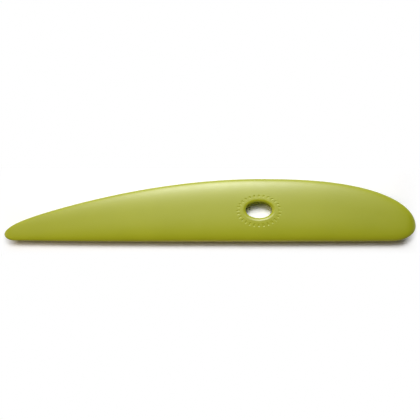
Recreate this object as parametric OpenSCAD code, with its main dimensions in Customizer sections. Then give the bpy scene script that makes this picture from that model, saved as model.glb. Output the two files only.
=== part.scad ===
// Long moulded polymer rib for shaping and smoothing clay.
// The narrow tip points along -X and the broad heel along +X.
// The curved working edge faces +Y and the nearly straight one faces -Y.
// The origin is on the resting surface, under the middle of the outline's box.

/* [Outline] */
// Overall length, from the narrow tip to the broad heel
rib_length = 289.05; // [260:0.05:320]
// Overall width, from the straight edge to the crown of the curved edge
rib_width = 44.45; // [38:0.05:52]
// Distance from the tip to the crown, where the rib is widest
crown_from_tip = 178.5; // [160:0.5:200]
// How far the straight edge bows in towards the tip
tip_bow = 1; // [0:0.1:2]
// How far the straight edge bows in towards the heel
heel_bow = 0.5; // [0:0.1:2]

/* [Tip] */
// Height of the tip's foremost point above the straight edge
tip_height = 5.3; // [4:0.1:8]
// Rise of the round nose, from the foremost point to the start of the long flank
nose_rise = 5.9; // [4:0.1:8]
// Tightness of the nose, where a higher power keeps it closer to the tip
nose_power = 23; // [16:1:32]
// Length over which the nose rounds down into the straight edge
nose_reach = 6.5; // [5:0.5:14]
// Length over which the section thins out to the tip
tip_thinning = 4; // [2:0.5:8]
// Fullness of the long flank between the nose and the crown
flank_power = 1.88; // [1.6:0.02:2.2]

/* [Heel] */
// Height of the heel's foremost point above the straight edge
heel_height = 11; // [8:0.5:16]
// Length over which the heel rounds down into the straight edge
heel_reach = 16.5; // [12:0.5:32]
// Length over which the section thins out to the heel's end
heel_thinning = 6; // [3:0.5:12]
// Fullness of the shoulder along the rib, from the crown to the heel
shoulder_power = 2.55; // [2:0.05:3]
// Fullness of the shoulder across the rib, where it drops to the heel
drop_power = 2.07; // [1.8:0.01:2.5]

/* [Section] */
// Thickness at the crown, from the resting face to the top of the dome
thickness = 7.4; // [5.6:0.1:9]
// Share of its thickness that the rib loses from the crown out to the tip
tip_fall = 0.4; // [0:0.05:0.5]
// Share of its thickness that the rib loses from the crown out to the heel
heel_fall = 0.1; // [0:0.05:0.5]
// Fullness of the section, where 2 is an ellipse and more is flatter with a blunter edge
section_power = 2.6; // [2:0.1:3]
// Depth that the flat resting face takes off the domed underside
rest_flat = 0.1; // [0.05:0.05:0.3]

/* [Finger hole] */
// Distance from the tip to the middle of the finger hole
hole_from_tip = 178.8; // [150:0.1:210]
// Distance of the hole below the middle line, towards the straight edge
hole_drop = 0.3; // [-3:0.1:3]
// Clear length of the oval hole, along the rib
hole_length = 18.2; // [12:0.1:22]
// Clear width of the oval hole, across the rib
hole_width = 11; // [8:0.1:14]
// Width of the rounded rim round the hole, on both faces
rim_width = 2.6; // [1.5:0.1:5]
// Depth to which that rim rounds down into the hole
rim_depth = 2; // [1:0.1:2.6]
// Width of the soft lead-in that runs from the rim out to the dome
rim_lead = 2.4; // [1:0.1:4]

/* [Hidden] */

// Sections from the tip to the crown, and from the crown to the heel
tip_sections = 40;
heel_sections = 32;
// Points round one section of the rib
section_sides = 40;
// Steps in one rounding of the hole's rim, and round the hole
rim_steps = 8;
oval_sides = 80;
// How sharply the straight edge's bow sets in towards its ends
bow_power = 3;
// Slope of the soft lead-in round the rim, as rise over run
lead_slope = 0.11;
// How far each cutter stands past the surface that it cuts
over = 2;

dome = (thickness + rest_flat) / 2;
mid_plane = thickness - dome;
heel_run = rib_length - crown_from_tip;
bow_run = rib_length / 2;

// The straight edge: a shallow bow that rounds up into the tip and the heel.
// Each edge is given by its height above the base line, x mm from the tip.
function quarter_round(u) = 1 - sqrt(1 - pow(min(max(u, 0), 1), 2));
function bow(x) =
    x < bow_run ? tip_bow * pow(1 - x / bow_run, bow_power)
                : heel_bow * pow(x / bow_run - 1, bow_power);
function low_edge(x) =
    bow(x)
    + (tip_height - tip_bow) * quarter_round(1 - x / nose_reach)
    + (heel_height - heel_bow) * quarter_round(1 - (rib_length - x) / heel_reach);

// The curved edge: nose and flank up to the crown, then the shoulder down to the heel
function flank(u) =
    tip_height
    + nose_rise * sqrt(1 - pow(u, nose_power))
    + (rib_width - tip_height - nose_rise) * (1 - pow(u, flank_power));
function shoulder(u) =
    heel_height + (rib_width - heel_height) * pow(1 - pow(u, shoulder_power), 1 / drop_power);
function high_edge(x) =
    x < crown_from_tip ? flank(1 - x / crown_from_tip)
                       : shoulder(min((x - crown_from_tip) / heel_run, 1));

// Half the width, the middle line, and half the thickness of the section at x.
// The thickness follows the root of the width, which keeps the edge equally round all along.
// It falls off gently from the crown to both ends, and thins out over the last few millimetres,
// so that the two ends get the same round edge.
function half_width(x) = (high_edge(x) - low_edge(x)) / 2;
function mid_line(x) = (high_edge(x) + low_edge(x)) / 2;
function end_share(x) =
    (1 - quarter_round(1 - x / tip_thinning))
    * (1 - quarter_round(1 - (rib_length - x) / heel_thinning));
function to_tip(x) = max(1 - x / crown_from_tip, 0);
function to_heel(x) = max((x - crown_from_tip) / heel_run, 0);
function half_thickness(x) =
    dome * end_share(x) * (1 - tip_fall * pow(to_tip(x), 2) - heel_fall * pow(to_heel(x), 2))
    * sqrt(max(half_width(x), 0) / half_width(crown_from_tip));
function dome_height(x, across) =
    half_thickness(x) * pow(1 - pow(abs(across) / half_width(x), section_power), 1 / section_power);

// Places of the sections, closest together at the tip and at the heel
section_places = concat(
    [for (i = [1:tip_sections]) crown_from_tip * (1 - cos(90 * i / tip_sections))],
    [for (i = [1:heel_sections - 1]) rib_length - heel_run * (1 - sin(90 * i / heel_sections))]
);
section_count = len(section_places);

// A power of a sine or cosine that keeps its sign
function full(value) = sign(value) * pow(abs(value), 2 / section_power);
function section_ring(x) = [
    for (j = [0:section_sides - 1])
        let (turn = 360 * j / section_sides)
            [x, mid_line(x) + half_width(x) * full(cos(turn)), half_thickness(x) * full(sin(turn))]
];
function ring_point(i, j) = 1 + i * section_sides + j % section_sides;

// The closed lens shape, about its own mid-plane, with the tip at x = 0
module lens() {
    end_point = 1 + section_count * section_sides;
    points = concat(
        [[0, tip_height, 0]],
        [for (x = section_places) each section_ring(x)],
        [[rib_length, heel_height, 0]]
    );
    tip_fan = [for (j = [0:section_sides - 1]) [0, ring_point(0, j + 1), ring_point(0, j)]];
    heel_fan = [
        for (j = [0:section_sides - 1])
            [end_point, ring_point(section_count - 1, j), ring_point(section_count - 1, j + 1)]
    ];
    skin = [
        for (i = [0:section_count - 2])
            for (j = [0:section_sides - 1])
                each [
                    [ring_point(i, j), ring_point(i, j + 1), ring_point(i + 1, j + 1)],
                    [ring_point(i, j), ring_point(i + 1, j + 1), ring_point(i + 1, j)]
                ]
    ];
    polyhedron(points = points, faces = concat(tip_fan, skin, heel_fan), convexity = 4);
}

// The cutter for the oval hole: a stack of ovals about the mid-plane, flared at both faces.
// Each ring is given by how far it stands out from the hole's wall, and by its height.
module finger_hole() {
    wall_a = hole_length / 2;
    wall_b = hole_width / 2;
    rim_level = dome_height(hole_from_tip, wall_b + rim_width + abs(hole_drop));
    lead_level = rim_level + rim_lead * lead_slope;
    flare = rim_width + rim_lead;
    upper_rounding = [
        for (i = [0:rim_steps])
            let (turn = 90 * i / rim_steps)
                [rim_width * (1 - cos(turn)), rim_level - rim_depth * (1 - sin(turn))]
    ];
    upper = concat(upper_rounding, [[flare, lead_level], [flare, dome + over]]);
    lower = [for (i = [len(upper) - 1:-1:0]) [upper[i][0], -upper[i][1]]];
    rings = concat(lower, upper);
    points = [
        for (ring = rings)
            for (j = [0:oval_sides - 1])
                let (turn = 360 * j / oval_sides)
                    [(wall_a + ring[0]) * cos(turn), (wall_b + ring[0]) * sin(turn), ring[1]]
    ];
    last = (len(rings) - 1) * oval_sides;
    sides = [
        for (i = [0:len(rings) - 2])
            for (j = [0:oval_sides - 1])
                let (here = i * oval_sides + j, next = i * oval_sides + (j + 1) % oval_sides)
                    each [
                        [here, here + oval_sides, next + oval_sides],
                        [here, next + oval_sides, next]
                    ]
    ];
    bottom_cap = [for (j = [0:oval_sides - 1]) j];
    top_cap = [for (j = [oval_sides - 1:-1:0]) last + j];
    translate([hole_from_tip, mid_line(hole_from_tip) - hole_drop, 0])
        polyhedron(points = points, faces = concat([bottom_cap, top_cap], sides), convexity = 4);
}

// Everything below the resting face
module rest_cut() {
    translate([-over, -over, -mid_plane - dome])
        cube([rib_length + 2 * over, rib_width + 2 * over, dome]);
}

module rib_body() {
    color([0.59, 0.62, 0.14])
        translate([-rib_length / 2, -rib_width / 2, mid_plane])
            difference() {
                lens();
                finger_hole();
                rest_cut();
            }
}

rib_body();
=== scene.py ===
import math

import bpy
import numpy as np
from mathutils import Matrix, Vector


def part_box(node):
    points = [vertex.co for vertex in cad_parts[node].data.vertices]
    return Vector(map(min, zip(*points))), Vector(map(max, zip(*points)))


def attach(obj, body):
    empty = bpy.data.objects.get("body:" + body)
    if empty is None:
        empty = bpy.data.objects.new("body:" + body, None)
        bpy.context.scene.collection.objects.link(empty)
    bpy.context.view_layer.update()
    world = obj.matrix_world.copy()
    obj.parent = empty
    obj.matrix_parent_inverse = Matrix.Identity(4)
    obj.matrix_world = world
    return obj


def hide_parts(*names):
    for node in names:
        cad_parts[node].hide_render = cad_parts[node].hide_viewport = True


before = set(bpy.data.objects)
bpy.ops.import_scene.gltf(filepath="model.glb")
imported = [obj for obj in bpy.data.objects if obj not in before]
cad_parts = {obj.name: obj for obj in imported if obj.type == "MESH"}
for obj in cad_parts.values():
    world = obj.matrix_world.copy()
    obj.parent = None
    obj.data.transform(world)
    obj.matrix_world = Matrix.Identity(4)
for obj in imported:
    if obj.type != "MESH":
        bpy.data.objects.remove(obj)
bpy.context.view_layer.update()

# Lengths are in millimetres, but for those of the floor, the camera and the lamps, in metres
MM = 0.001
low_corner, high_corner = (np.array(corner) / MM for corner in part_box("rib_body"))
rib_length, rib_width, thickness = high_corner - low_corner

# Outline, measured from the tip along the rib and from the base line up to the crown
crown_from_tip = 178.5
tip_bow = 1.0
heel_bow = 0.5
bow_power = 3
tip_height = 5.3
nose_rise = 5.9
nose_power = 23
nose_reach = 6.5
flank_power = 1.88
heel_height = 11.0
heel_reach = 16.5
shoulder_power = 2.55
drop_power = 2.07

# Section
tip_fall = 0.4
heel_fall = 0.1
section_power = 2.6
rest_flat = 0.1
tip_thinning = 4.0
heel_thinning = 6.0
# Least half width to divide by, for the two ends, where the section has none
least_width = 1e-6

# Finger hole
hole_from_tip = 178.8
hole_drop = 0.3
hole_length = 18.2
hole_width = 11.0
rim_width = 2.6
rim_depth = 2.0

# Oval zone round the hole, with a plain ring of short sunk ticks on the top face
zone_length = 37.0
zone_width = 27.0
zone_drop = 1.0
ring_half_length = 14.6
tick_count = 28
tick_length = 2.0
tick_width = 1.0
tick_depth = 0.25
tick_edge = 0.3

# Mesh density: columns round the hole, and the rings of each face from the hole to the outline
columns = 560
wall_rings = 5
rim_rings = 12
top_zone_rings = 34
under_zone_rings = 11
outer_rings = 46

# Points that the outline is sampled at, and how much its length, its angle round the hole and its
# bends each count in spacing the columns
outline_samples = 12001
length_share = 0.45
angle_share = 0.25
bend_share = 0.30

# Polymer: two greens, the roughness of its sheen, and its moulded grain. Each noise has a scale per
# metre, a detail and a roughness, and noise_low to noise_high is the middle span of its values.
dark_green = (0.352, 0.384, 0.008, 1)
light_green = (0.370, 0.402, 0.010, 1)
green_noise = (45, 3, 0.5)
sheen_low = 0.375
sheen_high = 0.405
sheen_noise = (160, 2, 0.5)
grain_strength = 0.15
grain_height = 0.05
grain_noise = (2500, 2, 0.6)
noise_low = 0.3
noise_high = 0.7
refraction = 1.62

# Matt wall of the hole: how much rougher it is, how far the matt part reaches past the opening, and
# the share of its oval over which it sets in
bore_roughness = 0.5
bore_reach = 0.7
bore_blend = 0.06

# Floor: how much light it throws back at the rib, how much lighter the camera sees it, its size,
# and how far from the middle along and across the rib it goes over to an even white
floor_bounce = 0.4
floor_lift = (1.09, 1.10, 1.125)
floor_half = 3.0
wall_height = 1.2
# The even white sets in a little inside the rib's two ends and over the outer edge of its shadow,
# so it paints light over that part of the shadow
fade_along = (0.134, 0.149)
fade_across = (0.0245, 0.031)

dome = (thickness + rest_flat) / 2
mid_plane = thickness - dome
heel_run = rib_length - crown_from_tip
bow_run = rib_length / 2

# Camera: its height in degrees, its distance, the width that it takes in there, and its aim
camera_elevation = 82.5
camera_distance = 1.0
camera_width = 0.2958
camera_aim = (-0.0001, 0.0002, mid_plane * MM)
sensor_width = 36

# Lamps: azimuth and elevation in degrees, distance, width, power in watts, and colour
white = (1, 1, 1)
lamps = {
    "key": (182, 52, 0.48, 0.19, 1.96, white),
    "key_surround": (182, 57, 0.48, 0.48, 0.86, white),
    "fill": (268, 29, 0.66, 0.33, 0.97, (1, 0.78, 0.45)),
    "front": (0, 2, 0.9, 0.06, 1.3, (1, 0.62, 0.22)),
    "heel_side": (92, 8, 0.3, 0.06, 0.02, (1, 0.95, 0.88)),
}
world_strength = 0.01


def quarter_round(u):
    """The height of a round corner: 0 before it, and up to 1 at its far end."""
    return 1 - np.sqrt(1 - np.clip(u, 0, 1) ** 2)


def low_edge(x):
    """Height of the nearly straight edge above the base line, x mm from the tip."""
    slant = np.clip(x / bow_run - 1, -1, 1)
    bow = np.where(slant < 0, tip_bow, heel_bow) * np.abs(slant) ** bow_power
    at_tip = (tip_height - tip_bow) * quarter_round(1 - x / nose_reach)
    at_heel = (heel_height - heel_bow) * quarter_round(1 - (rib_length - x) / heel_reach)
    return bow + at_tip + at_heel


def high_edge(x):
    """Height of the curved edge: nose and flank up to the crown, then the shoulder to the heel."""
    u = np.clip(1 - x / crown_from_tip, 0, 1)
    nose = nose_rise * np.sqrt(1 - u ** nose_power)
    flank = (rib_width - tip_height - nose_rise) * (1 - u ** flank_power)
    v = np.clip((x - crown_from_tip) / heel_run, 0, 1)
    shoulder = (rib_width - heel_height) * (1 - v ** shoulder_power) ** (1 / drop_power)
    return np.where(x < crown_from_tip, tip_height + nose + flank, heel_height + shoulder)


def half_width(x):
    return (high_edge(x) - low_edge(x)) / 2


def mid_line(x):
    return (high_edge(x) + low_edge(x)) / 2


def half_thickness(x):
    """Half the thickness at x, which follows the root of the width and falls off to both ends."""
    at_tip = 1 - quarter_round(1 - x / tip_thinning)
    at_heel = 1 - quarter_round(1 - (rib_length - x) / heel_thinning)
    to_tip = np.clip(1 - x / crown_from_tip, 0, 1)
    to_heel = np.clip((x - crown_from_tip) / heel_run, 0, 1)
    along = at_tip * at_heel * (1 - tip_fall * to_tip ** 2 - heel_fall * to_heel ** 2)
    return dome * along * np.sqrt(np.maximum(half_width(x), 0) / half_width(crown_from_tip))


def dome_height(x, y):
    """Height of the domed face above the mid-plane."""
    across = np.clip(np.abs(y - mid_line(x)) / np.maximum(half_width(x), least_width), 0, 1)
    return half_thickness(x) * (1 - across ** section_power) ** (1 / section_power)


hole_x = hole_from_tip
hole_y = float(mid_line(hole_from_tip)) - hole_drop


def outline_columns():
    """Outline points, one for each column, denser where the outline turns and round the hole."""
    turn = np.linspace(0, math.pi, outline_samples)
    along = rib_length * (1 + np.cos(turn)) / 2
    x = np.concatenate([along, along[-2:0:-1]])
    y = np.concatenate([high_edge(along), low_edge(along[-2:0:-1])])
    angle = np.arctan2(y - hole_y, x - hole_x) % (2 * math.pi)
    start = int(np.argmin(angle))
    x, y, angle = (np.roll(values, -start) for values in (x, y, angle))
    x, y = np.append(x, x[0]), np.append(y, y[0])
    angle = np.append(angle, 2 * math.pi)
    step = np.hypot(np.diff(x), np.diff(y))
    arc = np.concatenate([[0], np.cumsum(step)])
    heading = np.unwrap(np.arctan2(np.diff(y), np.diff(x)))
    bend = np.concatenate([[0], np.cumsum(np.abs(np.diff(heading))), [0]])
    bend[-1] = bend[-2]
    share = (length_share * arc / arc[-1] + angle_share * angle / angle[-1]
             + bend_share * bend / bend[-1])
    places = np.arange(columns) / columns
    return np.interp(places, share, x), np.interp(places, share, y)


# Each column's angle round the hole, and its point on the outline
phi = 2 * math.pi * np.arange(columns) / columns
outline_x, outline_y = outline_columns()


def oval(half_length, half_across, drop=0):
    """The columns' points on an oval round the hole, which may lie a little below its middle."""
    return hole_x + half_length * np.cos(phi), hole_y - drop + half_across * np.sin(phi)


def smooth(edge_low, edge_high, value):
    """A smooth step from 0 at the low edge to 1 at the high one."""
    t = np.clip((value - edge_low) / (edge_high - edge_low), 0, 1)
    return t * t * (3 - 2 * t)


def tick_pattern(half_length):
    """How deep the sunk ticks are at each column, on the oval of that half length."""
    pitch = 2 * math.pi / tick_count
    off_ring = abs(half_length - ring_half_length)
    along = 1 - smooth((tick_length - tick_edge) / 2, (tick_length + tick_edge) / 2, off_ring)
    off_middle = np.abs((phi + pitch / 2) % pitch - pitch / 2) * half_length
    across = 1 - smooth((tick_width - tick_edge) / 2, (tick_width + tick_edge) / 2, off_middle)
    return tick_depth * along * across


def face_rings(up):
    """Rings of one face as (x, y, z) columns, from the hole's mid-plane out to the outline.

    up is 1 for the top face and -1 for the underside, which has the flat land and no ticks.
    """
    rings = []
    inner_a, inner_b = hole_length / 2, hole_width / 2
    rim_a, rim_b = inner_a + rim_width, inner_b + rim_width

    def level(x, y):
        height = dome_height(x, y)
        return height if up > 0 else np.minimum(height, mid_plane)

    wall_x, wall_y = oval(inner_a, inner_b)
    wall_top = level(*oval(rim_a, rim_b)) - rim_depth
    for i in range(wall_rings):
        rings.append((wall_x, wall_y, up * wall_top * i / wall_rings))
    for i in range(rim_rings):
        turn = math.pi / 2 * i / rim_rings
        t = 1 - math.cos(turn)
        x, y = oval(inner_a + rim_width * t, inner_b + rim_width * t)
        rings.append((x, y, up * (level(x, y) - rim_depth * (1 - math.sin(turn)))))
    zone_rings = top_zone_rings if up > 0 else under_zone_rings
    for i in range(zone_rings):
        t = i / zone_rings
        half_length = rim_a + (zone_length / 2 - rim_a) * t
        x, y = oval(half_length, rim_b + (zone_width / 2 - rim_b) * t, zone_drop * t)
        sunk = tick_pattern(half_length) if up > 0 else 0
        rings.append((x, y, up * (level(x, y) - sunk)))
    zone_x, zone_y = oval(zone_length / 2, zone_width / 2, zone_drop)
    for i in range(outer_rings):
        s = math.sin(math.pi / 2 * i / outer_rings)
        x = zone_x + (outline_x - zone_x) * s
        y = zone_y + (outline_y - zone_y) * s
        rings.append((x, y, up * level(x, y)))
    return rings


def rib_mesh():
    """The whole rib as one closed quad mesh."""
    top = face_rings(1)
    under = face_rings(-1)[1:]
    edge = [(outline_x, outline_y, np.zeros(columns))]
    rings = top + edge + under[::-1]
    x, y, z = (np.concatenate(values) for values in zip(*rings))
    points = np.column_stack([
        x - rib_length / 2 + (low_corner[0] + high_corner[0]) / 2,
        y + low_corner[1],
        z + mid_plane + low_corner[2],
    ]) * MM
    column = np.arange(columns)
    following = (column + 1) % columns
    faces = []
    for i in range(len(rings)):
        here, beyond = i * columns, (i + 1) % len(rings) * columns
        faces.append(np.column_stack([
            here + column, beyond + column, beyond + following, here + following]))
    mesh = bpy.data.meshes.new("rib_casting")
    mesh.from_pydata(points.tolist(), [], np.concatenate(faces).tolist())
    mesh.validate()
    mesh.shade_smooth()
    return mesh


def set_inputs(tree, node, inputs):
    """Give each input of a node a value, or a link from another node's output."""
    for socket, value in inputs.items():
        if isinstance(value, bpy.types.NodeSocket):
            tree.links.new(value, node.inputs[socket])
        else:
            node.inputs[socket].default_value = value


def add_node(tree, kind, inputs=None, **settings):
    """A new shader node of that kind, with its settings and then its inputs."""
    node = tree.nodes.new("ShaderNode" + kind)
    for name, value in settings.items():
        setattr(node, name, value)
    set_inputs(tree, node, inputs or {})
    return node


def polymer_material():
    """Satin urethane, coloured through, with a fine moulded texture and slightly uneven sheen."""
    material = bpy.data.materials.new("polymer")
    material.use_nodes = True
    tree = material.node_tree
    place = add_node(tree, "TexCoord").outputs["Object"]

    def noise(scale, detail, roughness):
        node = add_node(tree, "TexNoise", {
            "Vector": place, "Scale": scale, "Detail": detail, "Roughness": roughness})
        return node.outputs["Fac"]

    def spread(value, low, high):
        node = add_node(tree, "MapRange", {
            "Value": value, "From Min": noise_low, "From Max": noise_high,
            "To Min": low, "To Max": high})
        return node.outputs["Result"]

    green = add_node(tree, "Mix", {
        "Factor": spread(noise(*green_noise), 0, 1), "A": dark_green, "B": light_green,
    }, data_type="RGBA")

    # The hole's wall lies inside an oval that reaches a little past the opening
    bore_a = (hole_length / 2 + bore_reach) * MM
    bore_b = (hole_width / 2 + bore_reach) * MM
    bore_place = add_node(tree, "Mapping", {
        "Vector": place,
        "Location": (-(hole_x - rib_length / 2) * MM / bore_a,
                     -(hole_y - rib_width / 2) * MM / bore_b, 0),
        "Scale": (1 / bore_a, 1 / bore_b, 0)})
    bore = add_node(tree, "TexGradient", {
        "Vector": bore_place.outputs["Vector"]}, gradient_type="SPHERICAL")
    matt = add_node(tree, "MapRange", {
        "Value": bore.outputs["Fac"], "From Max": bore_blend, "To Max": bore_roughness,
    }, interpolation_type="SMOOTHSTEP")
    rough = add_node(tree, "Math", {
        0: spread(noise(*sheen_noise), sheen_low, sheen_high), 1: matt.outputs["Result"],
    }, operation="ADD")

    grain = add_node(tree, "Bump", {
        "Strength": grain_strength, "Distance": grain_height * MM, "Height": noise(*grain_noise)})
    set_inputs(tree, tree.nodes["Principled BSDF"], {
        "Base Color": green.outputs["Result"],
        "Roughness": rough.outputs["Value"],
        "Normal": grain.outputs["Normal"],
        "IOR": refraction})
    return material


def floor_material():
    """White to the camera all over, but for the rib's own shadow.

    Close to the rib the camera sees a lifted diffuse white that keeps the shadow, and further
    out it sees an even white, which already sets in over the rib's two ends and the outer edge
    of its shadow, as painted light there. Every other ray meets an ordinary pale floor.
    """
    material = bpy.data.materials.new("floor")
    material.use_nodes = True
    tree = material.node_tree
    tree.nodes.clear()
    plain = add_node(tree, "BsdfDiffuse", {"Color": (floor_bounce, floor_bounce, floor_bounce, 1)})
    lifted = add_node(tree, "BsdfDiffuse", {"Color": (*floor_lift, 1)})
    even = add_node(tree, "Emission", {"Color": (1, 1, 1, 1), "Strength": 1})

    place = add_node(tree, "TexCoord")
    split = add_node(tree, "SeparateXYZ", {"Vector": place.outputs["Object"]})
    nearness = []
    for axis, (inner, outer) in (("X", fade_along), ("Y", fade_across)):
        away = add_node(tree, "Math", {0: split.outputs[axis]}, operation="ABSOLUTE")
        near = add_node(tree, "MapRange", {
            "Value": away.outputs["Value"], "From Min": inner, "From Max": outer,
            "To Min": 1, "To Max": 0,
        }, interpolation_type="SMOOTHSTEP")
        nearness.append(near.outputs["Result"])
    both = add_node(tree, "Math", {0: nearness[0], 1: nearness[1]}, operation="MULTIPLY")
    shown = add_node(tree, "MixShader", {
        "Fac": both.outputs["Value"], 1: even.outputs["Emission"], 2: lifted.outputs["BSDF"]})

    path = add_node(tree, "LightPath")
    seen = path.outputs["Is Camera Ray"]
    for ray in ("Is Glossy Ray", "Is Transmission Ray"):
        either = add_node(tree, "Math", {0: seen, 1: path.outputs[ray]}, operation="MAXIMUM")
        seen = either.outputs["Value"]
    choice = add_node(tree, "MixShader", {
        "Fac": seen, 1: plain.outputs["BSDF"], 2: shown.outputs["Shader"]})
    add_node(tree, "OutputMaterial", {"Surface": choice.outputs["Shader"]})
    return material


def add_object(name, data):
    obj = bpy.data.objects.new(name, data)
    bpy.context.scene.collection.objects.link(obj)
    return obj


def add_rib():
    rib = add_object("rib_casting", rib_mesh())
    rib.data.materials.append(polymer_material())
    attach(rib, "root")
    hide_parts("rib_body")


def add_floor():
    """The floor, with low walls far out that keep low views white too."""
    square = [(-1, -1), (1, -1), (1, 1), (-1, 1)]
    corners = [(x * floor_half, y * floor_half, z) for z in (0, wall_height) for x, y in square]
    walls = [(i, i + 4, (i + 1) % 4 + 4, (i + 1) % 4) for i in range(4)]
    mesh = bpy.data.meshes.new("floor")
    mesh.from_pydata(corners, [], [(0, 1, 2, 3)] + walls)
    mesh.materials.append(floor_material())
    add_object("floor", mesh)


def look_at(obj, target):
    direction = Vector(target) - obj.location
    obj.rotation_euler = direction.to_track_quat("-Z", "Y").to_euler()


def around(target, azimuth, elevation, distance):
    """A place seen from the target: azimuth 0 is on the -Y side, and 90 on the +X side."""
    turn, rise = math.radians(azimuth), math.radians(elevation)
    return Vector(target) + distance * Vector((
        math.sin(turn) * math.cos(rise), -math.cos(turn) * math.cos(rise), math.sin(rise)))


def add_camera():
    camera = bpy.data.cameras.new("camera")
    camera.sensor_fit = "HORIZONTAL"
    camera.sensor_width = sensor_width
    camera.lens = sensor_width * camera_distance / camera_width
    obj = add_object("camera", camera)
    obj.location = around(camera_aim, 0, camera_elevation, camera_distance)
    look_at(obj, camera_aim)
    bpy.context.scene.camera = obj


def add_lamp(name, azimuth, elevation, distance, width, power, colour):
    """A square area lamp that shines on the middle of the rib and isn't seen itself."""
    light = bpy.data.lights.new(name, "AREA")
    light.shape = "SQUARE"
    light.size = width
    light.energy = power
    light.color = colour
    obj = add_object(name, light)
    obj.location = around((0, 0, 0), azimuth, elevation, distance)
    obj.visible_camera = False
    look_at(obj, (0, 0, 0))


def add_world():
    world = bpy.data.worlds.new("surround")
    world.use_nodes = True
    set_inputs(world.node_tree, world.node_tree.nodes["Background"], {
        "Color": (1, 1, 1, 1), "Strength": world_strength})
    bpy.context.scene.world = world


bpy.context.scene.view_settings.view_transform = "Standard"
add_camera()
add_rib()
add_floor()
add_world()
for lamp_name, lamp in lamps.items():
    add_lamp(lamp_name, *lamp)
